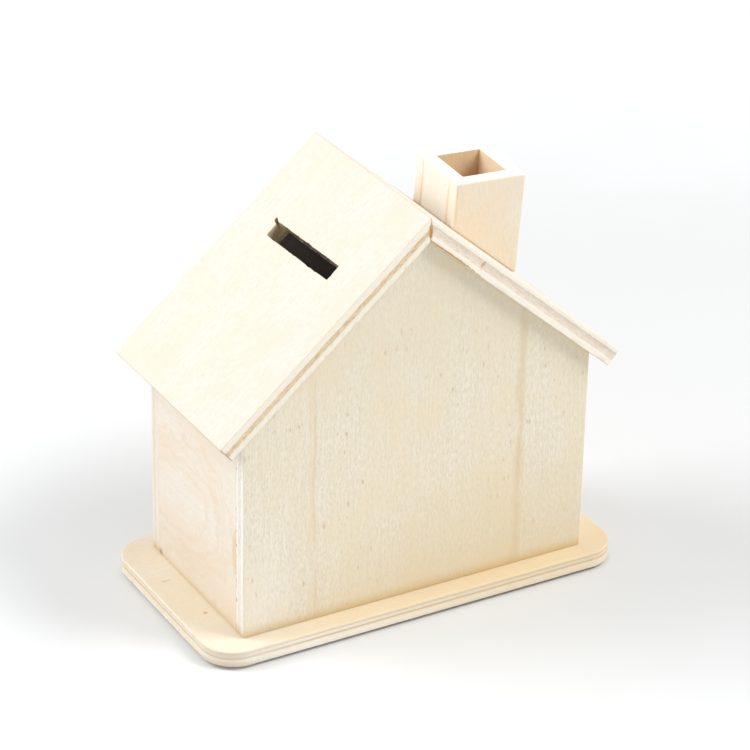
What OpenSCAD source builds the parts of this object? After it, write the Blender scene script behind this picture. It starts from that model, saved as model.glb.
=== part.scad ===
// House-shaped wooden money box: plywood boards glued up on a base board,
// with a coin slot in one roof panel, a chimney tube on the other and a
// rubber stopper in the base.
// +X runs along the gable wall, +Y from front to back and +Z up.
// The origin is the middle of the base board's underside.

/* [House] */
// Width across the side walls, outside
house_width = 100; // [80:1:140]
// Depth over the two gable walls, outside
house_depth = 51.5; // [44:0.5:90]
// Height of the side walls at their outer faces
eave_height = 57.2; // [30:0.2:70]
// Height of the gable peak above the base board
peak_height = 100.4; // [85:0.2:115]
// Thickness of the wall boards
wall_thickness = 4; // [3:0.5:5]

/* [Base board] */
// How far the base board stands out past the side walls
base_margin_side = 10; // [4:0.5:16]
// How far the base board stands out past the gable walls
base_margin_front = 5.5; // [3:0.5:16]
// Thickness of the base board
base_thickness = 4.4; // [4:0.2:6]
// Radius of the base board's corners
base_corner_radius = 9; // [2:0.5:12]

/* [Roof] */
// Thickness of the roof panels
roof_thickness = 5; // [4:0.5:6]
// Level reach of a panel's underside from the ridge to its lower edge
roof_reach = 54.4; // [51:0.2:60]
// Roof overhang past the front gable wall
roof_front_overhang = 2.5; // [0:0.5:5]
// Roof overhang past the back gable wall
roof_back_overhang = 5; // [0:0.5:5]

/* [Coin slot] */
// Length of the slot, along the ridge
slot_length = 30.5; // [27:0.5:34]
// Width of the slot, up the slope
slot_width = 4.5; // [3:0.1:6]
// Distance up the slope from the ridge line to the slot's middle
slot_from_ridge = 25.9; // [15:0.1:40]
// Position of the slot's middle along the ridge
slot_middle_y = 1.2; // [-3:0.1:3]
// Angle by which the slot is cut out of line with the ridge
slot_skew = 1.5; // [0:0.5:3]

/* [Chimney] */
// Width of the chimney, across the ridge
chimney_width = 20.5; // [16:0.5:24]
// Depth of the chimney, along the ridge
chimney_depth = 21.5; // [16:0.5:22]
// Thickness of the chimney boards
chimney_board = 3.8; // [2:0.2:5]
// Level distance from the ridge to the chimney's middle
chimney_middle_x = 36.7; // [22:0.1:38]
// Position of the chimney's middle along the ridge
chimney_middle_y = 15.8; // [-10:0.1:16]
// Height of the chimney's mouth above the roof, at its middle
chimney_rise = 21.4; // [16:0.2:40]
// Sideways lean of the glued chimney, away from the ridge
chimney_lean = 2.7; // [0:0.1:4]
// Forward lean of the glued chimney
chimney_tip = 1.5; // [0:0.1:3]
// Turn of the glued chimney about its own axis
chimney_turn = -1; // [-3:0.1:3]

/* [Stopper] */
// Diameter of the coin outlet in the base board
outlet_diameter = 28; // [26:0.5:30]
// Diameter of the stopper's flange
flange_diameter = 33.4; // [32:0.2:34]
// Thickness of the stopper's flange
flange_thickness = 1.3; // [0.8:0.1:1.5]
// Radial clearance of the stopper's neck in the outlet
neck_clearance = 0.05; // [0.02:0.01:0.1]
// How far the neck stands up inside the box
neck_rise = 1.2; // [0.6:0.1:2]

/* [Hidden] */
$fn = 96;

base_length = house_width + 2 * base_margin_side;
base_depth = house_depth + 2 * base_margin_front;

// Roof slope: rise over run, as a ratio and as an angle
roof_slope = (peak_height - eave_height) / (house_width / 2);
roof_angle = atan(roof_slope);
roof_length = house_depth + roof_front_overhang + roof_back_overhang;
roof_back_y = house_depth / 2 + roof_back_overhang;
roof_under_ridge = base_thickness + peak_height;
roof_top_ridge = roof_under_ridge + roof_thickness / cos(roof_angle);

// Counterbore that sinks the flange, so that the box stands on the board
flange_sink = 0.3;
flange_gap = 0.1;
flange_side_gap = 0.4;
counterbore_depth = flange_sink + flange_thickness + flange_gap;
// Lead-in at the inner end of the neck, and the grip recess with its bar
neck_lead = 0.6;
grip_diameter = 17;
grip_depth = 2;
grip_bar = 3;
// Half-round notch beside the flange, where a fingernail lifts it
notch_diameter = 8;

// Cutting tools run this far past the faces that they cut
past = 1;
// Side of the block that trims the chimney boards to the roof
trim_block = 200;

plywood = [0.93, 0.85, 0.70];
roof_plywood = [0.96, 0.90, 0.76];
base_plywood = [0.90, 0.80, 0.64];
chimney_wood = [0.94, 0.83, 0.66];
rubber = [0.16, 0.16, 0.17];

// Rectangle with round corners, centred
module rounded_rectangle(length, depth, radius) {
    square([length - 2 * radius, depth], center = true);
    square([length, depth - 2 * radius], center = true);
    for (x = [-1, 1], y = [-1, 1])
        translate([x * (length / 2 - radius), y * (depth / 2 - radius)])
            circle(r = radius);
}

// Stands an X-Z outline up and gives it a depth that starts at front_y
module upright(front_y, depth) {
    translate([0, front_y + depth, 0])
        rotate([90, 0, 0])
            linear_extrude(depth)
                children();
}

module gable_outline() {
    polygon([
        [-house_width / 2, 0],
        [house_width / 2, 0],
        [house_width / 2, eave_height],
        [0, peak_height],
        [-house_width / 2, eave_height]
    ]);
}

// Board between the gable walls, its top bevelled to the roof
module side_wall_outline() {
    inner_x = house_width / 2 - wall_thickness;
    polygon([
        [inner_x, 0],
        [house_width / 2, 0],
        [house_width / 2, eave_height],
        [inner_x, eave_height + wall_thickness * roof_slope]
    ]);
}

// Right-hand panel: mitred upright at the ridge, cut square at the eave
module roof_panel_outline() {
    lower_z = roof_under_ridge - roof_slope * roof_reach;
    polygon([
        [0, roof_under_ridge],
        [roof_reach, lower_z],
        [roof_reach + roof_thickness * sin(roof_angle), lower_z + roof_thickness * cos(roof_angle)],
        [0, roof_top_ridge]
    ]);
}

module gable_wall(front_y) {
    color(plywood)
        translate([0, 0, base_thickness])
            upright(front_y, wall_thickness)
                gable_outline();
}

module side_wall() {
    color(plywood)
        translate([0, 0, base_thickness])
            upright(-house_depth / 2 + wall_thickness, house_depth - 2 * wall_thickness)
                side_wall_outline();
}

module roof_panel() {
    upright(roof_back_y - roof_length, roof_length)
        roof_panel_outline();
}

// Block as long and wide as the slot, square to the left roof panel
module slot_cutter() {
    translate([-slot_from_ridge * cos(roof_angle), slot_middle_y,
               roof_top_ridge - slot_from_ridge * sin(roof_angle)])
        rotate([0, -roof_angle, 0])
            rotate([0, 0, slot_skew])
                translate([0, 0, -roof_thickness / 2])
                    cube([slot_width, slot_length, roof_thickness + 2 * past], center = true);
}

// One upright board of the chimney, given by its middle and its size in plan,
// leaned with the tube and trimmed to the roof
module chimney_piece(middle, size) {
    below = chimney_width;
    color(chimney_wood)
        difference() {
            translate([chimney_middle_x, chimney_middle_y,
                       roof_top_ridge - roof_slope * chimney_middle_x])
                rotate([chimney_tip, chimney_lean, chimney_turn])
                    translate([middle[0] - size[0] / 2, middle[1] - size[1] / 2, -below])
                        cube([size[0], size[1], chimney_rise + below]);
            translate([0, 0, roof_top_ridge])
                rotate([0, roof_angle, 0])
                    translate([-trim_block / 2, -trim_block / 2, -trim_block])
                        cube(trim_block);
        }
}

module base_board() {
    color(base_plywood)
        difference() {
            linear_extrude(base_thickness)
                rounded_rectangle(base_length, base_depth, base_corner_radius);
            translate([0, 0, -past])
                cylinder(d = outlet_diameter, h = base_thickness + 2 * past);
            translate([0, 0, -past])
                cylinder(d = flange_diameter + 2 * flange_side_gap, h = counterbore_depth + past);
            translate([flange_diameter / 2 + flange_side_gap, 0, -past])
                cylinder(d = notch_diameter, h = counterbore_depth + past);
        }
}

module front_gable_wall() {
    gable_wall(-house_depth / 2);
}

module back_gable_wall() {
    gable_wall(house_depth / 2 - wall_thickness);
}

module left_side_wall() {
    mirror([1, 0, 0])
        side_wall();
}

module right_side_wall() {
    side_wall();
}

module left_roof_panel() {
    color(roof_plywood)
        difference() {
            mirror([1, 0, 0])
                roof_panel();
            slot_cutter();
        }
}

module right_roof_panel() {
    color(roof_plywood)
        roof_panel();
}

module chimney_front_board() {
    chimney_piece([0, (chimney_board - chimney_depth) / 2], [chimney_width, chimney_board]);
}

module chimney_back_board() {
    chimney_piece([0, (chimney_depth - chimney_board) / 2], [chimney_width, chimney_board]);
}

module chimney_left_board() {
    chimney_piece([(chimney_board - chimney_width) / 2, 0],
                  [chimney_board, chimney_depth - 2 * chimney_board]);
}

module chimney_right_board() {
    chimney_piece([(chimney_width - chimney_board) / 2, 0],
                  [chimney_board, chimney_depth - 2 * chimney_board]);
}

// Flanged plug; its neck is a running fit in the outlet
module coin_stopper() {
    neck_radius = outlet_diameter / 2 - neck_clearance;
    neck_top = base_thickness + neck_rise;
    color(rubber)
        difference() {
            union() {
                translate([0, 0, flange_sink])
                    cylinder(d = flange_diameter, h = flange_thickness);
                translate([0, 0, flange_sink])
                    cylinder(r = neck_radius, h = neck_top - neck_lead - flange_sink);
                translate([0, 0, neck_top - neck_lead])
                    cylinder(r1 = neck_radius, r2 = neck_radius - neck_lead, h = neck_lead);
            }
            difference() {
                translate([0, 0, flange_sink - past])
                    cylinder(d = grip_diameter, h = grip_depth + past);
                translate([-grip_diameter, -grip_bar / 2, flange_sink - 2 * past])
                    cube([2 * grip_diameter, grip_bar, grip_depth + 4 * past]);
            }
        }
}

base_board();
front_gable_wall();
back_gable_wall();
left_side_wall();
right_side_wall();
left_roof_panel();
right_roof_panel();
chimney_front_board();
chimney_back_board();
chimney_left_board();
chimney_right_board();
coin_stopper();
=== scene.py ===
"""Looks of the house-shaped plywood money box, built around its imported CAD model.

Every board is a detailed mesh on the outline of its own CAD node: eased edges, plies that
stand out or sink in a little, saw fuzz, the open mitre at the ridge and the torn slot edge.
Board frames have X along the face grain and Z out of the outer face. Sizes here are in
millimetres, and MM turns them into Blender's metres.
"""

import math

import bpy
from mathutils import Matrix, Vector, geometry, noise


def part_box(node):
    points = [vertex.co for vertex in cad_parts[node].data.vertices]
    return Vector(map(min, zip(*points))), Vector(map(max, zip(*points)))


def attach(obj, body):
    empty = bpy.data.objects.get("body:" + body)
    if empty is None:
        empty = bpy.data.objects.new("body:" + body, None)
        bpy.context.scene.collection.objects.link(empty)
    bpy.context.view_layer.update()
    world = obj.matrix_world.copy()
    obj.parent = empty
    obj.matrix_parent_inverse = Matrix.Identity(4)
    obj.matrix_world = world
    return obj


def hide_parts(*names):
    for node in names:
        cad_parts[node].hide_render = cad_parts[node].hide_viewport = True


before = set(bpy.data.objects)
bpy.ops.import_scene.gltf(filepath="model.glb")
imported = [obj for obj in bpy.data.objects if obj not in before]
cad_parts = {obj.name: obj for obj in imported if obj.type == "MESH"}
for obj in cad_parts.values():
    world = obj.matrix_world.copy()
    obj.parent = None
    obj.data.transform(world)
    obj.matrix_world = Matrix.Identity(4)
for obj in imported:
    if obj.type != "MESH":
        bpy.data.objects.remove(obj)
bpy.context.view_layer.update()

MM = 0.001
X, Y, Z = (1, 0, 0), (0, 1, 0), (0, 0, 1)

# ------------ board outlines

EDGE_STEP = 0.45        # distance between points along an edge
SUPPORT = 0.35          # flat rim inside an eased edge, which keeps the face's shading flat
EASE_STEPS = 4          # segments in an eased edge's quarter round
PLY_STEP = 0.03         # height over which one ply's edge gives way to the next
SAME = 0.02             # points closer than this are one corner
SHARP = 0.03            # radius left on a corner that an inset would make sharp
WEAR = 0.05             # depth of the slow unevenness of every edge
WEAR_SIZE = 6           # length of one such dip
FUZZ_SIZE = 0.7         # size of a saw mark


def face_normal(node, direction):
    """Normal of the CAD node's face that looks most nearly in this direction."""
    direction = Vector(direction).normalized()
    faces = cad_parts[node].data.polygons
    return max((face.normal for face in faces), key=direction.dot).copy()


def board_frame(node, outward, grain):
    """A board's rotation, with X along the grain and Z outward, and its middle in that frame."""
    z = face_normal(node, outward)
    x = face_normal(node, grain)
    x = (x - z * x.dot(z)).normalized()
    turn = Matrix((x, z.cross(x), z)).transposed()
    points = cad_points(node, turn)
    low = Vector(min(p[i] for p in points) for i in range(3))
    high = Vector(max(p[i] for p in points) for i in range(3))
    return turn, (low + high) / 2


def cad_points(node, turn):
    """Points of a CAD node in a turned frame."""
    return [turn.transposed() @ v.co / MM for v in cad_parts[node].data.vertices]


def node_box(node):
    """The lowest and the highest corner of a CAD node."""
    return [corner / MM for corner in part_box(node)]


def board_size(node, board):
    """A board's length, depth and thickness in its own frame."""
    turn, middle = board
    points = [p - middle for p in cad_points(node, turn)]
    return [2 * max(p[i] for p in points) for i in range(3)]


def in_board(board, point):
    """A point of the object's frame in a board's own frame."""
    turn, middle = board
    return turn.transposed() @ Vector(point) - middle


def signed_area(loop):
    """Area inside a closed loop, below 0 if the loop is clockwise."""
    return sum(a.cross(b) for a, b in zip(loop, loop[1:] + loop[:1])) / 2


def corners_of(points):
    """Corners of the convex outline round some 2D points, anticlockwise."""
    ring = [points[i] for i in geometry.convex_hull_2d(points)]
    if signed_area(ring) < 0:
        ring.reverse()
    apart = [p for i, p in enumerate(ring) if (p - ring[i - 1]).length > SAME]
    kept = []
    for i, p in enumerate(apart):
        before, after = apart[i - 1], apart[(i + 1) % len(apart)]
        off_line = abs((p - before).cross(after - before)) / (after - before).length
        if off_line > SAME:
            kept.append(p)
    return kept


def matched(corners, other):
    """The other outline's corners, started at the one that lies nearest the first corner."""
    turns = [other[i:] + other[:i] for i in range(len(other))]
    return min(turns, key=lambda turn: sum((a - b).length for a, b in zip(corners, turn)))


def face_outlines(points, height):
    """Outline corners of the flat face at this height, and those of a hole in it, if any."""
    flat = [p.to_2d() for p in points if abs(p.z - height) < SAME]
    rim = corners_of(flat)
    inside = [p for p in flat if distance_inside(p, rim) > 1]
    return rim, corners_of(inside) if len(inside) > 2 else None


def distance_inside(point, rim):
    """How far a point lies inside a convex anticlockwise outline."""
    sides = zip(rim, rim[1:] + rim[:1])
    return min((b - a).normalized().cross(point - a) for a, b in sides)


def trace(corners, radius, counts, inset=0.0):
    """Points round an outline that is moved inward by inset and whose corners are rounded.

    There are counts[i] steps along the side after corner i, whatever the inset."""
    corners = [corner - away * inset for corner, away in zip(corners, outward(corners))]
    bend = max(radius - inset, SHARP)
    arcs = []
    for i, corner in enumerate(corners):
        before, after = corners[i - 1], corners[(i + 1) % len(corners)]
        into, out = (corner - before).normalized(), (after - corner).normalized()
        turn = into.angle(out)
        start = corner - into * bend * math.tan(turn / 2)
        centre = start + Vector((-into.y, into.x)) * bend
        steps = max(3, math.ceil(radius * turn / EDGE_STEP))
        arcs.append([
            centre + Matrix.Rotation(turn * k / steps, 2) @ (start - centre)
            for k in range(steps + 1)
        ])
    loop = []
    for i, arc in enumerate(arcs):
        follows = arcs[(i + 1) % len(arcs)][0]
        loop += arc
        loop += [arc[-1].lerp(follows, k / counts[i]) for k in range(1, counts[i])]
    return loop


def side_counts(corners, step):
    """Number of steps along each side of an outline."""
    sides = zip(corners, corners[1:] + corners[:1])
    return [max(1, round((b - a).length / step)) for a, b in sides]


def outward(loop):
    """Offset directions round a closed loop, to its right, mitred at the corners."""
    sides = [(b - a).normalized() for a, b in zip(loop, loop[1:] + loop[:1])]
    normals = [Vector((side.y, -side.x)) for side in sides]
    return [(n + normals[i - 1]) / (1 + n.dot(normals[i - 1])) for i, n in enumerate(normals)]


# ------------ mesh building


class Skin:
    """A closed mesh made of rings of points, joined by bands and closed by caps."""

    def __init__(self):
        self.points = []
        self.faces = []

    def ring(self, points):
        """Adds points and returns their indices."""
        first = len(self.points)
        self.points += points
        return list(range(first, len(self.points)))

    def band(self, upper, lower):
        """Joins two anticlockwise rings with as many points each, seen from above."""
        for i, j in zip(upper, lower):
            k = upper[0] + (i - upper[0] + 1) % len(upper)
            m = lower[0] + (j - lower[0] + 1) % len(lower)
            self.faces.append((j, m, k, i))

    def tube(self, rings):
        """Joins rings, each to the one below it."""
        for above, below in zip(rings, rings[1:]):
            self.band(above, below)

    def cap(self, rings, up):
        """Closes the flat area inside the first ring and outside the others."""
        ids = [i for ring in rings for i in ring]
        flat = [Vector(self.points[i][:2]) for i in ids]
        outlines, start = [], 0
        for ring in rings:
            outline = list(range(start, start + len(ring)))
            clockwise = signed_area([flat[i] for i in outline]) < 0
            outlines.append(outline[::-1] if clockwise else outline)
            start += len(ring)
        inside_constraints = 1
        _, _, triangles, sources, _, owners = geometry.delaunay_2d_cdt(
            flat, [], outlines, inside_constraints, 1e-7)
        for triangle, owner in zip(triangles, owners):
            if list(owner) == [0]:
                corners = [ids[sources[v][0]] for v in triangle]
                self.faces.append(tuple(corners if up else corners[::-1]))

    def mesh(self, name):
        mesh = bpy.data.meshes.new(name)
        mesh.from_pydata([Vector(p) * MM for p in self.points], [], self.faces)
        mesh.validate()
        mesh.shade_smooth()
        mesh.set_sharp_from_angle(angle=math.radians(50))
        return mesh


def rough(point, seed, size):
    """Signed noise from -1 to 1 whose bumps are about this many millimetres across."""
    return noise.noise(Vector(point) / size + Vector((seed * 7.3, seed * 3.1, seed * 5.7)))


def edge_levels(thickness, plies, ease, lower):
    """Heights down a board's edge, each with its inset and saw fuzz.

    plies runs from the outer face to the inner one: (share of thickness, inset, fuzz)."""
    half = thickness / 2
    levels = [(half, ease + SUPPORT, 0, 0)]
    for k in range(EASE_STEPS + 1):
        angle = math.pi / 2 * k / EASE_STEPS
        levels.append((half - ease * (1 - math.cos(angle)), ease * (1 - math.sin(angle)), 0, 0.3))
    top = half
    for i, (share, inset, fuzz) in enumerate(plies):
        bottom = top - share * thickness
        first = top - (ease * 1.3 if i == 0 else PLY_STEP)
        last = bottom + (lower * 1.1 if i == len(plies) - 1 else PLY_STEP)
        levels += [(z, inset, fuzz, 1) for z in (first, (first + last) / 2, last)]
        top = bottom
    for k in range(EASE_STEPS, -1, -1):
        angle = math.pi / 2 * k / EASE_STEPS
        inset = lower * (1 - math.sin(angle))
        levels.append((lower * (1 - math.cos(angle)) - half, inset, 0, 0.3))
    levels.append((-half, lower + SUPPORT, 0, 0))
    return levels


def wall_rings(skin, upper, lower, radius, levels, seed, relief=None, hole=False):
    """Rings down a wall from the outer face's outline to the inner one's.

    relief gives an extra inset from the point, the outward direction there, the height and
    the room left before the next corner."""
    half = levels[0][0]
    counts = side_counts(upper, SLOT_STEP if hole else EDGE_STEP)
    rings = []
    for z, inset, fuzz, wander in levels:
        share = (z + half) / (2 * half)
        corners = [b.lerp(a, share) for a, b in zip(upper, lower)]
        loop = trace(corners, radius, counts, -inset if hole else inset)
        if hole:
            loop.reverse()
        ring = []
        for point, away in zip(loop, outward(loop)):
            place = (point.x, point.y, z)
            wear = WEAR * wander * rough(place, seed, WEAR_SIZE)
            saw = fuzz * rough(place, seed + 1, FUZZ_SIZE)
            room = min((point - corner).length for corner in corners)
            extra = relief(point, away, z, room) if relief else 0
            moved = point - away * (wear + saw + extra)
            ring.append((moved.x, moved.y, z))
        rings.append(skin.ring(ring))
    skin.tube(rings)
    return rings


def finish_piece(name, node, mesh, turn, centre, material, body="box"):
    """Puts a mesh in place as the piece that stands for a CAD node."""
    piece = bpy.data.objects.new(name, mesh)
    bpy.context.scene.collection.objects.link(piece)
    piece.matrix_world = Matrix.Translation(centre) @ turn.to_4x4()
    mesh.materials.append(material)
    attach(piece, body)
    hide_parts(node)
    return piece


def build_board(node, board, plies, material, seed, ease=0.35, inner_ease=0.35, corner=0.35,
                relief=None, hole_relief=None):
    """A flat board with square, bevelled or mitred edges, on its CAD node's outline."""
    turn, middle = board
    points = [p - middle for p in cad_points(node, turn)]
    half = max(p.z for p in points)
    upper, upper_hole = face_outlines(points, half)
    lower, lower_hole = face_outlines(points, -half)
    levels = edge_levels(2 * half, plies, ease, inner_ease)
    skin = Skin()
    lower = matched(upper, lower)
    rims = [wall_rings(skin, upper, lower, corner, levels, seed, relief)]
    if upper_hole:
        lower_hole = matched(upper_hole, lower_hole)
        slot_levels = edge_levels(2 * half, SLOT_PLIES, SLOT_EASE, SLOT_EASE)
        rims.append(wall_rings(skin, upper_hole, lower_hole, SLOT_CORNER, slot_levels, seed + 5,
                               hole_relief, hole=True))
    skin.cap([rings[0] for rings in rims], up=True)
    skin.cap([rings[-1] for rings in rims], up=False)
    name = node + ("_ply" if len(plies) > 1 else "_wood")
    return finish_piece(name, node, skin.mesh(node), turn, turn @ middle * MM, material)


# ------------ shader building


class Shader:
    """A material under construction: short ways to add and link its nodes."""

    def __init__(self, name):
        self.material = bpy.data.materials.new(name)
        self.material.use_nodes = True
        self.tree = self.material.node_tree
        self.tree.nodes.clear()

    def finish(self, inputs, bump=None):
        """Closes the material with a Principled shader; bump is (strength, depth, height)."""
        if bump:
            strength, depth, height = bump
            relief = self.node("Bump", {"Strength": strength, "Distance": depth * MM,
                                        "Height": height})
            inputs = {**inputs, "Normal": relief.outputs[0]}
        bsdf = self.node("BsdfPrincipled", inputs)
        output = self.node("OutputMaterial")
        self.tree.links.new(bsdf.outputs[0], output.inputs[0])
        return self.material

    def node(self, kind, inputs=(), **settings):
        node = self.tree.nodes.new("ShaderNode" + kind)
        for key, value in settings.items():
            setattr(node, key, value)
        for key, value in dict(inputs).items():
            self.feed(node.inputs[key], value)
        return node

    def feed(self, socket, value):
        if isinstance(value, bpy.types.NodeSocket):
            self.tree.links.new(value, socket)
        else:
            socket.default_value = value

    def math(self, operation, a, b=0.0, clamp=False):
        return self.node("Math", {0: a, 1: b}, operation=operation, use_clamp=clamp).outputs[0]

    def stretch(self, vector, scale, shift=(0, 0, 0)):
        """The vector times a scale for each axis, plus a shift."""
        inputs = {0: vector, 1: scale, 2: shift}
        return self.node("VectorMath", inputs, operation="MULTIPLY_ADD").outputs[0]

    def noise(self, vector, detail=3.0, roughness=0.55, distortion=0.0):
        inputs = {"Vector": vector, "Scale": 1.0, "Detail": detail, "Roughness": roughness,
                  "Distortion": distortion}
        return self.node("TexNoise", inputs).outputs["Fac"]

    def fade(self, value, low, high):
        """0 up to low and 1 from high on, smooth between them."""
        inputs = {"Value": value, "From Min": low, "From Max": high}
        return self.node("MapRange", inputs, interpolation_type="SMOOTHSTEP").outputs["Result"]

    def mix(self, factor, a, b, blend="MIX"):
        node = self.node("Mix", data_type="RGBA", blend_type=blend)
        for index, value in ((0, factor), (6, a), (7, b)):
            self.feed(node.inputs[index], value)
        return node.outputs[2]

    def ramp(self, factor, stops, interpolation="LINEAR"):
        """stops is a list of (position, colour)."""
        node = self.node("ValToRGB", {"Fac": factor})
        node.color_ramp.interpolation = interpolation
        elements = node.color_ramp.elements
        while len(elements) < len(stops):
            elements.new(1.0)
        for element, (position, colour) in zip(elements, stops):
            element.position = position
            element.color = colour
        return node.outputs["Color"]

    def spot(self, place, board, middle, reaches, soft=0.4, ragged=0.9, grit=1.3):
        """1 around a point of the object's frame and 0 beyond the reaches along the axes given.

        An axis that is left out does not limit the spot. place is in the board's frame, and
        the rim is ragged by this much with this many bumps to the millimetre."""
        centre = in_board(board, middle)
        total = 0.0
        for axis, reach in reaches:
            across = board[0].transposed() @ Vector(axis).normalized() / reach
            inputs = {0: place, 1: across}
            off = self.node("VectorMath", inputs, operation="DOT_PRODUCT").outputs["Value"]
            off = self.math("SUBTRACT", off, across.dot(centre))
            total = self.math("ADD", self.math("MULTIPLY", off, off), total)
        length = self.math("SQRT", total)
        break_up = self.noise(self.stretch(place, (grit, grit, grit)), 3)
        length = self.math("ADD", length, self.math("MULTIPLY", break_up, ragged))
        rim = 1 + ragged / 2
        return self.fade(length, rim + soft / 2, rim - soft / 2)


def colour(red, green, blue):
    """A linear colour from sRGB values of 0 to 255."""
    values = [c / 255 for c in (red, green, blue)]
    linear = [c / 12.92 if c <= 0.04045 else ((c + 0.055) / 1.055) ** 2.4 for c in values]
    return (*linear, 1.0)


OWN_SHIFT = (37.0, 53.0, 11.0)      # times a board's seed, moves it in the noise
GRAIN_WANDER = 3.5      # millimetres
PORE = colour(196, 172, 134)
FLECK = colour(178, 142, 96)
GLUE = colour(160, 128, 90)
SANDED = colour(250, 241, 222)
TAN_ARRIS = colour(232, 206, 164)
ROOF_LONG_GRAIN = colour(244, 237, 222)
WALL_EDGE = (colour(243, 239, 233), colour(241, 235, 225), colour(206, 192, 172))
BACK_WALL_EDGE = (colour(236, 226, 212), colour(234, 223, 207), colour(220, 206, 186))
GLUE_BROWN = colour(206, 158, 100)
# painted shade in the crease where a wall stands on the base
PAINTED_FOOT_SHADE_TAN = colour(214, 184, 126)


def ply_map(shader, place, thickness, plies):
    """Two masks over a board's edge: where the plies run across the face grain, and glue lines."""
    split = shader.node("SeparateXYZ", {0: place})
    wander = shader.noise(shader.stretch(place, (1.1, 1.1, 0.3)), 4)
    wander = shader.math("MULTIPLY", shader.math("SUBTRACT", wander, 0.5), 0.34)
    height = shader.math("ADD", split.outputs[2], wander)
    share = shader.math("DIVIDE", shader.math("ADD", height, thickness / 2), thickness)
    stops, top = [], 0.0
    for i, (part, _, _) in enumerate(reversed(plies)):
        cross = float(i % 2)
        glue = 0.05 / thickness
        stops.append((top + (glue if i else 0.0), (cross, 0, 0, 1)))
        top += part
        if i < len(plies) - 1:
            stops.append((top - glue, (cross, 1, 0, 1)))
    bands = shader.node("SeparateColor", {0: shader.ramp(share, stops, "CONSTANT")})
    return bands.outputs[0], bands.outputs[1]


def paint_face(shader, own, grain, face, seed, contrast, flecks, streaks):
    """Colour of a sanded veneer, its fibre tone and its pores."""
    pale, dark, tint = face
    strokes = shader.noise(shader.stretch(grain, (0.6, 1.9, 1.2)), 5, 0.68)
    fibre = shader.noise(shader.stretch(grain, (0.07, 1.3, 0.9)), 4, 0.7)
    cloud = shader.noise(shader.stretch(own, (0.05, 0.09, 0.09)), 4, 0.6)
    tone = shader.math("ADD", shader.math("MULTIPLY", strokes, 0.74),
                       shader.math("MULTIPLY", fibre, 0.26))
    tone = shader.fade(tone, 0.5 - 0.15 / contrast, 0.5 + 0.15 / contrast)
    surface = shader.mix(tone, pale, dark)
    clouds = shader.math("MULTIPLY", shader.fade(cloud, 0.35, 0.7), 0.75)
    surface = shader.mix(clouds, surface, tint)
    lighter, darker = [(1 + x * contrast,) * 3 + (1.0,) for x in (0.013, -0.016)]
    surface = shader.mix(1.0, surface, shader.mix(tone, lighter, darker), "MULTIPLY")
    pore = shader.noise(shader.stretch(grain, (0.9, 3.4, 3.0)), 2, 0.5)
    pores = shader.fade(pore, 0.6, 0.78)
    surface = shader.mix(shader.math("MULTIPLY", pores, 0.3 * contrast), surface, PORE)
    if flecks:
        surface = paint_flecks(shader, own, surface, flecks)
    surface = paint_streaks(shader, own, grain, surface, seed, streaks)
    return surface, strokes, pores


def paint_flecks(shader, own, surface, strength):
    """Small brown flecks that lie along the grain, crowded in some places."""
    cells = shader.node("TexVoronoi", {
        "Vector": shader.stretch(own, (0.2, 0.48, 0.48)), "Scale": 1.0, "Randomness": 1.0,
    }, voronoi_dimensions="2D")
    pick = shader.node("SeparateColor", {0: cells.outputs["Color"]}).outputs[0]
    size = shader.math("MULTIPLY", shader.math("SUBTRACT", pick, 0.55), 0.4)
    near = shader.math("SUBTRACT", size, cells.outputs["Distance"])
    ragged = shader.noise(shader.stretch(own, (1.0, 2.5, 2.5)), 2)
    near = shader.math("ADD", near, shader.math("MULTIPLY", ragged, 0.16))
    crowd = shader.fade(shader.noise(shader.stretch(own, (0.04, 0.1, 0.1)), 2), 0.43, 0.6)
    speck = shader.math("MULTIPLY", shader.fade(near, 0.02, 0.22), crowd)
    return shader.mix(shader.math("MULTIPLY", speck, strength), surface, FLECK)


def paint_streaks(shader, own, grain, surface, seed, streaks):
    """Long streaks down the grain: (place across the board, half width, strength, colour)."""
    across = shader.node("SeparateXYZ", {0: grain}).outputs[1]
    loose = shader.noise(shader.stretch(own, (0.09, 0.7, 0.8)), 4, 0.6)
    faint = shader.fade(shader.noise(shader.stretch(own, (0.06, 0.3, 0.3)), 3), 0.3, 0.6)
    for middle, width, strength, stain in streaks:
        middle += seed * OWN_SHIFT[1]
        offset = shader.math("ABSOLUTE", shader.math("SUBTRACT", across, middle))
        offset = shader.math("ADD", offset, shader.math("MULTIPLY", loose, width * 1.2))
        mask = shader.math("MULTIPLY", shader.fade(offset, width * 1.8, width * 0.6), faint)
        surface = shader.mix(shader.math("MULTIPLY", mask, strength), surface, stain)
    return surface


def paint_figure(shader, place, board, surface, figure):
    """Cathedral arches of the growth rings, round a point far along the grain."""
    middle, reaches, stain = figure
    for share, strength in ((1.0, 0.3), (0.84, 0.2), (0.7, 0.26), (0.5, 0.16)):
        sized = [(axis, reach * share) for axis, reach in reaches]
        wider = [(axis, reach * (share + 0.07)) for axis, reach in reaches]
        inside = shader.spot(place, board, middle, sized, 0.1, 0.8, 0.12)
        beyond = shader.spot(place, board, middle, wider, 0.14, 0.8, 0.12)
        line = shader.math("SUBTRACT", beyond, inside, clamp=True)
        surface = shader.mix(shader.math("MULTIPLY", line, strength), surface, stain)
    return surface


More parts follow.
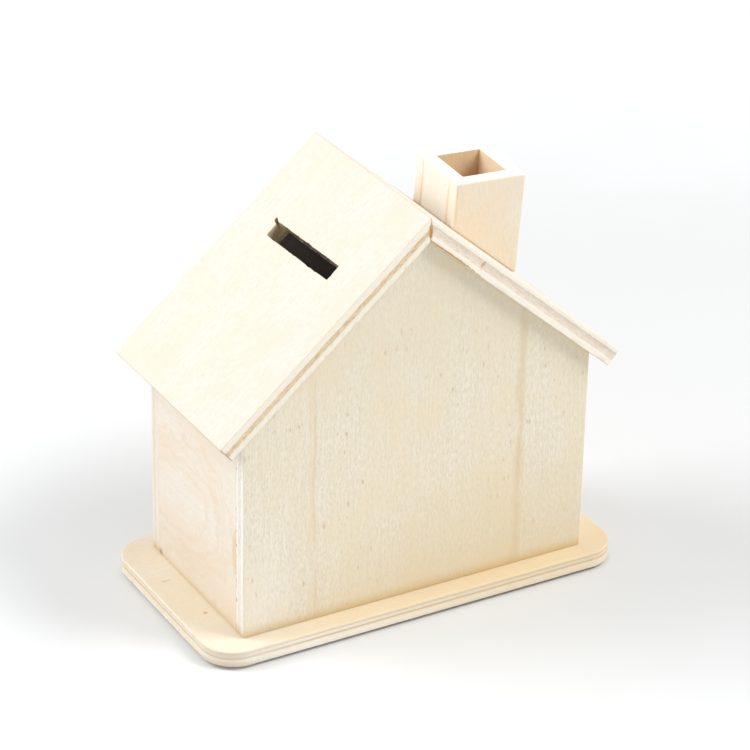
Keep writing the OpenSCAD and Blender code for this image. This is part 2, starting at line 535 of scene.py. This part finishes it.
def paint_edge(shader, own, place, sides, thickness, plies, edge):
    """Colour of a sawn edge and its relief: long grain as fine lines, end grain as dots."""
    across = shader.math("MULTIPLY", sides.outputs[0], sides.outputs[0])
    along = shader.math("MULTIPLY", sides.outputs[1], sides.outputs[1])
    lines = shader.noise(shader.stretch(own, (0.25, 0.25, 4.0)), 4, 0.65)
    dots = shader.noise(shader.stretch(own, (0.7, 0.7, 3.0)), 5, 0.8)
    long_grain, end_grain, speck = edge
    end, glue = across, None
    if len(plies) > 1:
        cross, glue = ply_map(shader, place, thickness, plies)
        end = shader.node("Mix", {0: cross, 2: across, 3: along}, data_type="FLOAT").outputs[0]
    surface = shader.mix(end, long_grain, end_grain)
    spread = shader.math("ADD", shader.math("MULTIPLY", end, 0.38), 0.08)
    dark = shader.math("ADD", shader.math("MULTIPLY", shader.fade(lines, 0.4, 0.65), 0.4),
                       shader.math("MULTIPLY", shader.fade(dots, 0.42, 0.62), 1.4))
    surface = shader.mix(shader.math("MULTIPLY", dark, spread), surface, speck)
    if glue:
        broken = shader.fade(shader.noise(shader.stretch(own, (0.8, 0.8, 0.8)), 2), 0.4, 0.65)
        broken = shader.math("MULTIPLY", broken, 0.2)
        surface = shader.mix(shader.math("MULTIPLY", glue, broken), surface, GLUE)
    relief = shader.math("ADD", shader.math("MULTIPLY", lines, 0.8), dots)
    return surface, relief


def paint_stains(shader, place, board, surface, stains):
    """Lays stains on a colour: (middle, reaches, strength, colour, softness) each."""
    for middle, reaches, strength, stain, soft in stains:
        mask = shader.spot(place, board, middle, reaches, soft, 0.9 if soft < 1 else 0.3)
        surface = shader.mix(shader.math("MULTIPLY", mask, strength), surface, stain)
    return surface


def wandering_grain(shader, own):
    """The board's own coordinates, bent so that the grain wanders a little across it."""
    bend = shader.noise(shader.stretch(own, (0.025, 0.05, 0.05)), 3)
    bend = shader.math("MULTIPLY", shader.math("SUBTRACT", bend, 0.5), GRAIN_WANDER)
    shifted = shader.node("CombineXYZ", {1: bend}).outputs[0]
    return shader.node("VectorMath", {0: own, 1: shifted}, operation="ADD").outputs[0]


def paint_arris(shader, own, facing_out, surface, tint):
    """Sanded arrises, which stand out in patches."""
    arris = shader.math("MULTIPLY", shader.fade(facing_out, 0.15, 0.6),
                        shader.fade(facing_out, 0.985, 0.75))
    patchy = shader.fade(shader.noise(shader.stretch(own, (0.4, 0.4, 0.4)), 3), 0.3, 0.6)
    arris = shader.math("MULTIPLY", shader.math("MULTIPLY", arris, patchy), 0.5)
    return shader.mix(arris, surface, tint), patchy


def wood(name, board, thickness, plies, face, edge, seed, contrast=1.0, figure=None, flecks=0.0,
         streaks=(), stains=(), edge_stains=(), arris_tint=SANDED, inner=None):
    """Bare sanded plywood, or solid wood where there is one ply.

    face is (pale, dark, tint), edge is (long grain, end grain, specks) and inner is a colour
    that multiplies the inner face's. Stains are placed in the object's frame."""
    shader = Shader(name)
    coordinates = shader.node("TexCoord")
    place = shader.stretch(coordinates.outputs["Object"], (1 / MM,) * 3)
    own = shader.stretch(place, (1, 1, 1), [seed * shift for shift in OWN_SHIFT])
    facing = shader.node("SeparateXYZ", {0: coordinates.outputs["Normal"]})
    normal = shader.node("VectorMath", {0: coordinates.outputs["Normal"]}, operation="ABSOLUTE")
    sides = shader.node("SeparateXYZ", {0: normal.outputs[0]})
    flat = shader.fade(sides.outputs[2], 0.45, 0.8)

    grain = wandering_grain(shader, own)
    body, fibre, pores = paint_face(shader, own, grain, face, seed, contrast, flecks, streaks)
    if figure:
        body = paint_figure(shader, place, board, body, figure)
    rim, rim_relief = paint_edge(shader, own, place, sides, thickness, plies, edge)
    rim = paint_stains(shader, place, board, rim, edge_stains)
    surface = shader.mix(flat, rim, body)

    surface, patchy = paint_arris(shader, own, sides.outputs[2], surface, arris_tint)
    surface = paint_stains(shader, place, board, surface, stains)
    if inner:
        hidden = shader.fade(facing.outputs[2], -0.3, -0.7)
        surface = shader.mix(hidden, surface, inner, "MULTIPLY")

    roughness = shader.math("ADD", shader.math("MULTIPLY", fibre, 0.2), 0.52)
    roughness = shader.math("ADD", roughness, shader.math("MULTIPLY", patchy, 0.08))
    fine = shader.noise(shader.stretch(grain, (0.9, 6.0, 3.0)), 3, 0.6)
    relief = shader.math("ADD", fibre, shader.math("MULTIPLY", fine, 0.6))
    relief = shader.math("SUBTRACT", relief, shader.math("MULTIPLY", pores, 0.5))
    relief = shader.node("Mix", {0: flat, 2: rim_relief, 3: relief}, data_type="FLOAT").outputs[0]
    inputs = {"Base Color": surface, "Roughness": roughness, "Specular IOR Level": 0.3}
    return shader.finish(inputs, (0.5, 0.07, relief))


def rubber(name):
    """Matt black moulded rubber with a fine speckle and dusty rims."""
    shader = Shader(name)
    coordinates = shader.node("TexCoord")
    place = shader.stretch(coordinates.outputs["Object"], (1 / MM,) * 3)
    cloud = shader.noise(shader.stretch(place, (0.3, 0.3, 0.3)), 4)
    speck = shader.noise(shader.stretch(place, (6, 6, 6)), 3)
    dust = shader.fade(shader.noise(shader.stretch(place, (1.1, 1.1, 1.1)), 5, 0.7), 0.52, 0.75)
    surface = shader.mix(shader.fade(cloud, 0.3, 0.7), colour(40, 40, 42), colour(56, 55, 56))
    surface = shader.mix(shader.math("MULTIPLY", dust, 0.3), surface, colour(122, 114, 102))
    roughness = shader.math("ADD", shader.math("MULTIPLY", speck, 0.25), 0.5)
    relief = shader.math("ADD", speck, shader.math("MULTIPLY", cloud, 0.5))
    return shader.finish({"Base Color": surface, "Roughness": roughness}, (0.4, 0.05, relief))


# ------------ the boards

# Plies from the outer face to the inner one: share of thickness, inset and saw fuzz
WALL_PLIES = [(0.3, 0.0, 0.03), (0.4, 0.03, 0.04), (0.3, 0.0, 0.04)]
LEFT_ROOF_PLIES = [(0.38, 0.0, 0.04), (0.27, 0.05, 0.09), (0.35, 0.0, 0.08)]
RIGHT_ROOF_PLIES = [(0.24, 0.0, 0.03), (0.42, 0.03, 0.05), (0.34, 0.0, 0.06)]
BASE_PLIES = [(0.19, 0.0, 0.03), (0.22, 0.04, 0.05), (0.14, 0.07, 0.03), (0.22, 0.02, 0.05),
              (0.23, 0.0, 0.04)]
SOLID = [(1.0, 0.0, 0.03)]
WALL_EASE = 0.22
SLOT_PLIES = [(0.3, 0.0, 0.14), (0.4, 0.1, 0.16), (0.3, 0.05, 0.2)]
SLOT_CORNER = 0.3
SLOT_EASE = 0.15

MITRE_TIGHT_TOP = 1.3   # the ridge mitre is tight this far below the roof's top
MITRE_TIGHT_FOOT = 0.5  # and this far above its underside
MITRE_GAP = 0.32        # in between, at its two ends, each panel stands back this far from it
MITRE_GAP_DEPTH = 0.45  # and the gap runs this far in from the end
ROOF_ANGLE = math.asin(face_normal("right_roof_panel", (1, 0, 1)).x)
SLOT_MIDDLE = (-19.6, 1.2, 94.5)    # on the roof's outer face
SLOT_BACK_Y = 16.4
SLOT_STEP = 0.2         # distance between points round the slot
SPLINTER = (-18.3, 16.4, 95.6)      # the uphill corner of the slot's back end
SPLINTER_DEPTH = 1.9
SPLINTER_WIDTH = 0.85
BARE_WOOD = (-17.9, 15, 95.6)       # pale fibres beside the splinter
CORE_GAP_FROM_RIDGE = 22.1          # a gap in the right panel's core, at its front edge
CORE_GAP_WIDTH = 0.5
CORE_GAP_DEPTH = 0.35
CORE_HALF = 0.9         # half the height of that gap
TORN_DEPTH = 0.35       # the right panel's lower front arris is torn this deep
TORN_LENGTH = 17        # as far as this from the ridge
NICK_DEPTH = 0.15       # and less beyond it
TEAR_SIZE = 0.8


def smooth(value, low, high):
    """0 up to low and 1 from high on, smooth between them."""
    share = min(1, max(0, (value - low) / (high - low)))
    return share * share * (3 - 2 * share)


def roof_relief(side, length, depth, half, seed):
    """The open mitre at the ridge, at X = -length / 2, and wear on the front edge."""
    def mitre_gap(point, away, z):
        top, foot = MITRE_TIGHT_TOP, MITRE_TIGHT_FOOT
        opened = smooth(half - z, top, top + 0.3) * smooth(half + z, foot, foot + 0.3)
        from_end = depth / 2 - abs(point.y)
        opened *= smooth(MITRE_GAP_DEPTH - from_end, 0, 0.5)
        return MITRE_GAP * opened * min(1, -1.6 * away.x)

    def relief(point, away, z, room):
        if away.x < -0.1:
            return mitre_gap(point, away, z)
        if away.y * side > -0.7:
            return 0
        gap = 0
        if side > 0 and abs(z) < CORE_HALF:
            off_gap = abs(point.x + length / 2 - CORE_GAP_FROM_RIDGE)
            gap = CORE_GAP_DEPTH * (off_gap < CORE_GAP_WIDTH / 2)
        low = smooth(-z, half - 1.2, half - 0.2) * smooth(room, 0.7, 1.5)
        tears = max(0, rough((point.x, point.y, 0), seed + 3, TEAR_SIZE))
        from_mitre = point.x + length / 2 - (half - z) * math.tan(ROOF_ANGLE)
        reach = TORN_LENGTH if side > 0 else length
        return gap + low * tears * (TORN_DEPTH if from_mitre < reach else NICK_DEPTH)
    return relief


def slot_relief(board):
    """A splintered notch in the slot's back end, at its uphill corner, and torn edges elsewhere."""
    corner = in_board(board, SPLINTER)
    back = (in_board(board, (0, 1, 0)) - in_board(board, (0, 0, 0))).to_2d()

    def relief(point, away, z, room):
        upper = smooth(z, -0.5, 1.5)
        if away.dot(back) < -0.7:
            off = abs(point.x - corner.x)
            return SPLINTER_DEPTH * smooth(SPLINTER_WIDTH - off, 0, SPLINTER_WIDTH) * upper
        return 0.3 * max(0, rough((point.x, point.y, 0), 4, 1.2)) * upper * smooth(room, 0.7, 1.5)
    return relief


def mitre_stains(low, high):
    """Glue that darkens the open mitre at both gables."""
    middle_z = high.z - 3.6
    return [((0, y, middle_z), ((X, 0.6), (Y, 2), (Z, 2.0)), 0.95, GLUE_BROWN, 0.3)
            for y in (low.y, high.y)]


def left_roof_stains(low, thickness):
    """Painted shade on the eave face, and the slot's darkened cut with its back end painted paler
    and its splinter.
    """
    down, slope = math.cos(ROOF_ANGLE), math.sin(ROOF_ANGLE)
    eave = (low.x + thickness * slope, 0, low.z)
    back_end = (SLOT_MIDDLE[0], SLOT_BACK_Y, SLOT_MIDDLE[2])
    return [
        # painted shade: darkens the roof panel's cut eave face
        (eave, (((-down, 0, -slope), 0.3),), 0.6, colour(150, 128, 98), 0.3),
        (SLOT_MIDDLE, ((X, 5), (Y, 18)), 0.9, colour(72, 54, 48), 0.4),
        # painted light: the slot's back end lies in shade and is painted paler
        (back_end, ((Y, 1.2),), 0.8, colour(228, 206, 164), 0.5),
        (BARE_WOOD, ((X, 1), (Y, 1.2), (Z, 1)), 0.9, ROOF_LONG_GRAIN, 0.3),
    ]


def right_roof_stains(low, high, thickness):
    """The gap in the core and the torn lower arris, on the front edge."""
    down, slope = math.cos(ROOF_ANGLE), math.sin(ROOF_ANGLE)
    along, out = (down, 0, -slope), (slope, 0, down)
    gap, torn = (
        (from_ridge * down - deep * slope, low.y, high.z - from_ridge * slope - deep * down)
        for from_ridge, deep in ((CORE_GAP_FROM_RIDGE, 2), (11, thickness - 0.1))
    )
    return [
        (gap, ((along, 0.35), (out, 0.9)), 0.7, GLUE_BROWN, 0.3),
        (torn, ((along, 12), (out, 0.55)), 0.9, colour(190, 148, 92), 0.3),
    ]


def build_roof():
    """The two roof panels; the coin slot is in the left one."""
    face = (colour(239, 235, 226), colour(230, 223, 208), colour(236, 226, 206))
    edges = {
        "left": (ROOF_LONG_GRAIN, colour(232, 213, 180), colour(190, 152, 100)),
        "right": (ROOF_LONG_GRAIN, colour(235, 222, 205), colour(212, 192, 170)),
    }
    for seed, side, name, plies in ((1, -1, "left", LEFT_ROOF_PLIES),
                                    (2, 1, "right", RIGHT_ROOF_PLIES)):
        node = name + "_roof_panel"
        board = board_frame(node, (side, 0, 1), (side, 0, -1))
        length, depth, thickness = board_size(node, board)
        low, high = node_box(node)
        stains = mitre_stains(low, high)
        if side < 0:
            stains += left_roof_stains(low, thickness)
        else:
            stains += right_roof_stains(low, high, thickness)
        material = wood(node, board, thickness, plies, face, edges[name], seed, contrast=0.8,
                        edge_stains=stains, arris_tint=TAN_ARRIS)
        relief = roof_relief(side, length, depth, thickness / 2, seed)
        build_board(node, board, plies, material, seed, relief=relief,
                    hole_relief=slot_relief(board))


def torn_inner_arris(point, away, z, room):
    """Small tears in a gable wall's inner arris, where it meets the side walls."""
    tears = max(0, rough((point.x, point.y, 0), 9, 0.9)) * smooth(room, 0.7, 1.5)
    return 0.4 * tears * smooth(-z, 1, 1.7)


def build_gable_walls():
    """The two five-sided walls; the streaks show on the front one only."""
    face = (colour(238, 230, 214), colour(226, 216, 194), colour(234, 220, 191))
    low = node_box("front_gable_wall")[0].z
    streaks = ((-30, 0.5, 0.3, colour(206, 176, 132)), (-30.5, 2.4, 0.3, colour(226, 204, 170)),
               (29.5, 1.9, 0.6, colour(216, 188, 146)))
    # painted shade: the gable darker towards its peak, under the roof's overhang
    painted_peak_shade = ((0, 0, 100), ((Z, 34),), 0.5, colour(221, 210, 182), 1.6)
    # painted light: warm light bounced from the base, on the lower gable
    painted_warm_bounce = ((14, 0, low), ((X, 40), (Z, 26)), 0.6, colour(230, 210, 172), 1.6)
    pale_corner = ((-46, 0, low), ((X, 9), (Z, 22)), 0.3, colour(244, 238, 226), 1.0)
    # painted shade: a soft darkening in the crease where the gable meets the base
    painted_foot_shade = ((0, 0, low - 1), ((Z, 2.6),), 0.75, PAINTED_FOOT_SHADE_TAN, 1.6)
    # painted light: a pale pink patch on the back gable's inner face brightens the inside seen
    # through the slot
    painted_light_behind_slot = ((-8, 21.75, 82), ((X, 18), (Y, 2), (Z, 18)), 0.9, colour(255, 243, 243), 1.2)
    stains = [painted_peak_shade, painted_warm_bounce, pale_corner, painted_foot_shade, painted_light_behind_slot]
    for seed, outward_y, name, edge, marks in ((3, -1, "front", WALL_EDGE, streaks),
                                               (4, 1, "back", BACK_WALL_EDGE, ())):
        node = name + "_gable_wall"
        board = board_frame(node, (0, outward_y, 0), (0, 0, -1))
        thickness = board_size(node, board)[2]
        material = wood(node, board, thickness, WALL_PLIES, face, edge, seed, contrast=1.45,
                        flecks=0.5, streaks=marks, stains=stains)
        build_board(node, board, WALL_PLIES, material, seed, WALL_EASE, WALL_EASE,
                    relief=torn_inner_arris)


def build_side_walls():
    """The two walls between the gables; the rust and the knot show on the left one only."""
    side_face = (colour(237, 230, 218), colour(231, 221, 205), colour(236, 218, 197))
    ring = colour(222, 192, 156)
    low = node_box("left_side_wall")[0].z
    for seed, outward_x, name in ((5, -1, "left"), (6, 1, "right")):
        node = name + "_side_wall"
        board = board_frame(node, (outward_x, 0, 0), (0, 1, 0))
        stains = [
            ((0, -18, 12), ((Y, 22), (Z, 12)), 0.3, colour(236, 212, 180), 1.4),
            # painted shade in the crease at the wall's foot
            ((0, 0, low - 1), ((Z, 2.2),), 0.5, PAINTED_FOOT_SHADE_TAN, 1.6),
        ]
        if outward_x < 0:
            rust, knot = colour(228, 192, 150), colour(150, 120, 84)
            stains.append(((-50, -21.4, 27), ((Y, 1.6), (Z, 6)), 0.6, rust, 0.9))
            stains.append(((-50, 21.5, low), ((Y, 1.6), (Z, 1.6)), 0.6, knot, 0.9))
            arches = ((0, 10, 27), (((0, -1, 0.15), 31), ((0, 0.15, 1), 18)), ring)
        else:
            arches = ((0, 34, 36), ((Y, 58), (Z, 15)), ring)
        thickness = board_size(node, board)[2]
        material = wood(node, board, thickness, WALL_PLIES, side_face, WALL_EDGE, seed,
                        figure=arches, contrast=0.8, stains=stains)
        build_board(node, board, WALL_PLIES, material, seed, WALL_EASE, WALL_EASE)


def build_chimney():
    """The four upright boards of the chimney, glued on the roof."""
    # painted light and shade: one wood, the front boards given a darker colour and the side boards
    # a lighter one
    front = (colour(235, 227, 212), colour(228, 217, 199), colour(235, 218, 195))
    side = (colour(249, 244, 238), colour(246, 239, 229), colour(249, 239, 227))
    edge = (colour(248, 243, 237), colour(249, 245, 239), colour(240, 228, 212))
    # inner is painted shade: it warms and darkens the inside faces of the flue
    inner, seam = colour(255, 241, 218), colour(226, 196, 152)
    ridge = (0, 0, node_box("right_roof_panel")[1].z)
    out = (math.sin(ROOF_ANGLE), 0, math.cos(ROOF_ANGLE))
    # painted bounce light and shade: a warm glow up the chimney from where it stands on the roof
    painted_glow = (ridge, ((out, 8),), 0.28, colour(240, 208, 160), 1.6)
    faint_painted_glow = (ridge, ((out, 5),), 0.12, colour(246, 220, 184), 1.4)
    # painted shade: a thin warm dark line in the crease at the chimney's foot
    line = (ridge, ((out, 0.4),), 0.35, colour(222, 174, 118), 0.5)
    back_low, back_high = node_box("chimney_back_board")
    corner_x = node_box("chimney_right_board")[0].x
    # painted shade deep inside the flue, by its back right corner
    deep = ((corner_x - 1.5, back_low.y, back_high.z - 10), ((X, 3.6), (Y, 1.9), (Z, 6)), 0.5,
            colour(176, 116, 80), 1.6)
    for seed, outward_of_face, name in ((7, (0, -1, 0), "front"), (8, (0, 1, 0), "back"),
                                        (9, (-1, 0, 0), "left"), (10, (1, 0, 0), "right")):
        node = "chimney_" + name + "_board"
        board = board_frame(node, outward_of_face, Z)
        height, width, thickness = board_size(node, board)
        broad = name in ("front", "back")
        stains = [painted_glow if broad else faint_painted_glow, line]
        if name in ("back", "right"):
            stains.append(deep)
        if not broad:
            turn, middle = board
            reaches = ((turn @ Vector(X), height / 2 - 1.2), (turn @ Vector(Y), 0.9))
            for across in (-width / 2, width / 2):
                joint = turn @ (middle + Vector((0, across, 0)))
                stains.append((joint, reaches, 0.5, seam, 0.7))
        material = wood(node, board, thickness, SOLID, front if broad else side, edge, seed,
                        contrast=0.9, stains=stains, inner=inner)
        build_board(node, board, SOLID, material, seed, ease=0.55 if broad else 0.15,
                    inner_ease=0.12, corner=0.6 if broad else 0.12)


# ------------ base board and stopper

BASE_CORNER = 9
OUTLET_RADIUS = 14
COUNTERBORE_RADIUS = 17.1
COUNTERBORE_DEPTH = 1.7
NOTCH_RADIUS = 4
NECK_RADIUS = 13.95
NECK_CHAMFER = 0.6
FLANGE_THICKNESS = 1.3
GRIP_RADIUS = 8.5
GRIP_DEPTH = 2
GRIP_BAR = 3
GROOVE_RADII = (12.6, 11.4)     # a shallow groove round the grip, in the flange's face
GROOVE_DEPTH = 0.25
CIRCLE_STEPS = 120


def arc(radius, start, end, steps, centre=(0, 0)):
    """Points along an arc, its last point left out."""
    angles = [start + (end - start) * k / steps for k in range(steps)]
    return [Vector(centre) + Vector((math.cos(a), math.sin(a))) * radius for a in angles]


def at_height(loop, z, shrink=0.0):
    """A flat loop's points at a height, moved inward by shrink."""
    return [(*(p - away * shrink), z) for p, away in zip(loop, outward(loop))]


def base_relief(low, half):
    """The worn lower arris, most worn round the front left corner."""
    def relief(point, away, z, room):
        off_corner = (point - low.to_2d()).length
        worn = 0.05 + 0.2 * smooth(20 - off_corner, 0, 16)
        return worn * smooth(-z, half - 0.8, half - 0.4) * (z > -half)
    return relief


def base_wood(board, low, high, seed):
    """The base board's plywood: flecks, painted warm shade at the front right, front-edge plies
    painted light and dull plies at the edge.
    """
    face = (colour(242, 233, 215), colour(236, 224, 203), colour(240, 225, 200))
    edge = (colour(242, 228, 202), colour(253, 249, 236), colour(222, 198, 160))
    painted_ply_light, dull = colour(255, 255, 250), colour(200, 172, 128)
    stains = [
        ((-52.9, -10.3, high.z), ((X, 0.5), (Y, 0.5), (Z, 1.5)), 0.6, FLECK, 0.5),
        ((-54.8, 8.3, high.z), ((X, 1.2), (Y, 0.5), (Z, 1.5)), 0.3, FLECK, 0.6),
        # painted shade: the top and front edge darker and warmer towards the front right
        ((high.x, low.y, high.z), ((X, 90), (Y, 20)), 0.6, colour(228, 200, 152), 1.6),
        ((low.x + 10, low.y + 4, high.z), ((X, 12), (Y, 10)), 0.5, colour(229, 219, 203), 1.6),
    ]
    edge_stains = [
        # painted light: the front edge's lower and middle plies lit whiter
        ((0, low.y, 0.9), ((Y, 12), (Z, 1.0)), 0.9, painted_ply_light, 0.5),
        ((0, low.y, 3.05), ((Y, 12), (Z, 0.45)), 0.9, painted_ply_light, 0.4),
        ((low.x + 3, low.y + 3, 3), ((X, 8), (Y, 8), (Z, 1)), 0.4, colour(196, 160, 112), 0.9),
        ((low.x + 3, low.y + 3, 0.7), ((X, 8), (Y, 8), (Z, 0.9)), 0.55, colour(206, 172, 126), 0.9),
        ((0, 0, 2.35), ((Z, 0.25),), 0.6, dull, 0.4),
        ((0, 0, 3.7), ((Z, 0.12),), 0.4, dull, 0.4),
    ]
    return wood("base_board", board, high.z - low.z, BASE_PLIES, face, edge, seed, contrast=0.8,
                stains=stains, edge_stains=edge_stains)


def cut_outlet(skin, half):
    """Rings of the counterbore with its fingernail notch, and of the coin outlet above it."""
    meet_x = COUNTERBORE_RADIUS - NOTCH_RADIUS ** 2 / (2 * COUNTERBORE_RADIUS)
    meet = math.acos(meet_x / COUNTERBORE_RADIUS)
    notch = math.pi - math.acos((COUNTERBORE_RADIUS - meet_x) / NOTCH_RADIUS)
    sunk = arc(COUNTERBORE_RADIUS, meet, 2 * math.pi - meet, CIRCLE_STEPS)
    sunk += arc(NOTCH_RADIUS, -notch, notch, 24, (COUNTERBORE_RADIUS, 0))
    bore = arc(OUTLET_RADIUS, 0, 2 * math.pi, CIRCLE_STEPS)
    floor_z = -half + COUNTERBORE_DEPTH
    ease = 0.2
    sunk_loops = [(floor_z, 0.0), (-half + ease, 0.0), (-half, -ease), (-half, -ease - SUPPORT)]
    bore_loops = [(half, -ease), (half - ease, 0.0), (floor_z + ease, 0.0), (floor_z, -ease)]
    sunk_rings = [skin.ring(at_height(sunk, z, s)[::-1]) for z, s in sunk_loops]
    bore_rings = [skin.ring(at_height(bore, z, s)[::-1]) for z, s in bore_loops]
    skin.tube(sunk_rings)
    skin.tube(bore_rings)
    return sunk_rings, bore_rings


def build_base():
    """The round-cornered base board with the hole for the stopper."""
    seed = 11
    low, high = node_box("base_board")
    half = (high.z - low.z) / 2
    board = (Matrix.Identity(3), Vector((0, 0, half)))
    material = base_wood(board, low, high, seed)
    corners = [Vector((low.x, low.y)), Vector((high.x, low.y)), Vector((high.x, high.y)),
               Vector((low.x, high.y))]
    skin = Skin()
    levels = edge_levels(2 * half, BASE_PLIES, 0.4, 0.15)
    rim = wall_rings(skin, corners, corners, BASE_CORNER, levels, seed, base_relief(low, half))
    sunk_rings, bore_rings = cut_outlet(skin, half)
    skin.cap([rim[0], bore_rings[0]], up=True)
    skin.cap([sunk_rings[0], bore_rings[-1]], up=False)
    skin.cap([rim[-1], sunk_rings[-1]], up=False)
    centre = Vector((0, 0, half * MM))
    mesh = skin.mesh("base_board")
    finish_piece("base_board_ply", "base_board", mesh, board[0], centre, material)


def stopper_profile(low, high):
    """Heights and radii down the stopper's outside, from the neck's top to inside the groove."""
    flange = (high.x - low.x) / 2
    under, over, top = low.z, low.z + FLANGE_THICKNESS, high.z
    groove_out, groove_in = GROOVE_RADII
    return [
        (top, NECK_RADIUS - NECK_CHAMFER - 0.9), (top, NECK_RADIUS - NECK_CHAMFER - 0.15),
        (top - 0.1, NECK_RADIUS - NECK_CHAMFER), (top - NECK_CHAMFER, NECK_RADIUS),
        (over + 0.2, NECK_RADIUS), (over, NECK_RADIUS + 0.2), (over, flange - 0.6),
        (over - 0.1, flange - 0.2), (over - 0.3, flange), (under + 0.4, flange),
        (under + 0.12, flange - 0.12), (under, flange - 0.4), (under, groove_out),
        (under + GROOVE_DEPTH, groove_out - 0.2), (under + GROOVE_DEPTH, groove_in + 0.2),
        (under, groove_in), (under, groove_in - 0.4),
    ]


def grip_pockets(skin, under):
    """The two half-round pockets beside the grip bar; returns their rims."""
    start = math.asin(GRIP_BAR / 2 / GRIP_RADIUS)
    pockets = []
    for half_turn in (0, math.pi):
        last = math.pi - start + half_turn
        loop = arc(GRIP_RADIUS, start + half_turn, last, 60)
        loop.append(Vector((math.cos(last), math.sin(last))) * GRIP_RADIUS)
        walls = [(under + GRIP_DEPTH, 0.25), (under + GRIP_DEPTH - 0.2, 0.0), (under + 0.2, 0.0),
                 (under, -0.2), (under, -0.4)]
        pocket = [skin.ring(at_height(loop, z, s)[::-1]) for z, s in walls]
        skin.tube(pocket)
        skin.cap([pocket[0]], up=False)
        pockets.append(pocket[-1])
    return pockets


def build_stopper(material):
    """The rubber stopper, with a groove and a grip in its flange's face."""
    low, high = node_box("coin_stopper")
    skin = Skin()
    rings = [
        skin.ring(at_height(arc(radius, 0, 2 * math.pi, CIRCLE_STEPS), z))
        for z, radius in stopper_profile(low, high)
    ]
    skin.tube(rings)
    pockets = grip_pockets(skin, low.z)
    skin.cap([rings[0]], up=True)
    skin.cap([rings[-1], *pockets], up=False)
    mesh = skin.mesh("coin_stopper")
    turn, origin = Matrix.Identity(3), Vector()
    finish_piece("coin_stopper_rubber", "coin_stopper", mesh, turn, origin, material, "stopper")


# ------------ stage, lights and camera


def build_floor():
    """Pale floor with a painted shadow that darkens it round the box. The box stands 1 mm off it,
    which makes a thin dark contact line.
    """
    size, drop = 4.0, 0.001
    # painted shadow: the floor's colour is darker round this point near the box
    painted_shadow_centre = (0.15, 0.04, 0)
    painted_shadow, open_floor = colour(219, 220, 220), colour(238, 240, 242)
    corners = [(x * size, y * size, -drop) for x, y in ((-1, -1), (1, -1), (1, 1), (-1, 1))]
    mesh = bpy.data.meshes.new("floor")
    mesh.from_pydata(corners, [], [(0, 1, 2, 3)])
    shader = Shader("floor")
    place = shader.node("TexCoord").outputs["Object"]
    inputs = {0: place, 1: painted_shadow_centre}
    distance = shader.node("VectorMath", inputs, operation="DISTANCE").outputs["Value"]
    cloud = shader.math("MULTIPLY", shader.noise(shader.stretch(place, (9, 9, 9)), 3), 0.1)
    far = shader.fade(shader.math("ADD", distance, cloud), 0.11, 0.35)
    surface = shader.mix(far, painted_shadow, open_floor)
    mesh.materials.append(shader.finish({"Base Color": surface, "Roughness": 0.85}))
    floor = bpy.data.objects.new("floor", mesh)
    bpy.context.scene.collection.objects.link(floor)


def add_softbox(name, azimuth, elevation, distance, size, watts, tone=(1, 1, 1)):
    """A square area light that looks at the middle of the box."""
    light = bpy.data.lights.new(name, "AREA")
    light.shape = "SQUARE"
    light.size = size
    light.energy = watts
    light.color = tone
    lamp = bpy.data.objects.new(name, light)
    back_way = direction(azimuth, elevation)
    lamp.location = Vector((0, 0, 0.05)) + back_way * distance
    lamp.rotation_euler = back_way.to_track_quat("Z", "Y").to_euler()
    bpy.context.scene.collection.objects.link(lamp)


def direction(azimuth, elevation):
    """From the object towards a viewer; azimuth 0 is the viewer who looks along +Y."""
    a, e = math.radians(azimuth), math.radians(elevation)
    return Vector((math.sin(a) * math.cos(e), -math.cos(a) * math.cos(e), math.sin(e)))


def light_scene():
    """A white surround, two soft lights and the plain view transform."""
    world = bpy.data.worlds.new("studio")
    world.use_nodes = True
    background = world.node_tree.nodes["Background"]
    background.inputs["Color"].default_value = (1.0, 1.0, 1.0, 1.0)
    background.inputs["Strength"].default_value = 0.56
    bpy.context.scene.world = world
    add_softbox("left_softbox", -125, 38, 1.2, 0.7, 8.4)
    add_softbox("right_softbox", 50, 50, 1.2, 0.55, 9.4)
    bpy.context.scene.view_settings.view_transform = "Standard"


AIM = Vector((3.2, 3.0, 53.0)) * MM
CAMERA_AZIMUTH = -30.05
CAMERA_ELEVATION = 27.78
CAMERA_ROLL = 1.23
CAMERA_DISTANCE = 0.85
CAMERA_LENS = 157.96


def place_camera():
    """The photo's viewpoint, a long lens from the left front."""
    data = bpy.data.cameras.new("camera")
    data.lens = CAMERA_LENS
    data.sensor_width = 36
    data.clip_start = 0.01
    data.clip_end = 100
    camera = bpy.data.objects.new("camera", data)
    back_way = direction(CAMERA_AZIMUTH, CAMERA_ELEVATION)
    turn = back_way.to_track_quat("Z", "Y").to_matrix()
    roll = Matrix.Rotation(math.radians(CAMERA_ROLL), 3, "Z")
    place = Matrix.Translation(AIM + back_way * CAMERA_DISTANCE)
    camera.matrix_world = place @ (turn @ roll).to_4x4()
    bpy.context.scene.collection.objects.link(camera)
    bpy.context.scene.camera = camera


build_base()
build_gable_walls()
build_side_walls()
build_roof()
build_chimney()
build_stopper(rubber("stopper_rubber"))
build_floor()
light_scene()
place_camera()
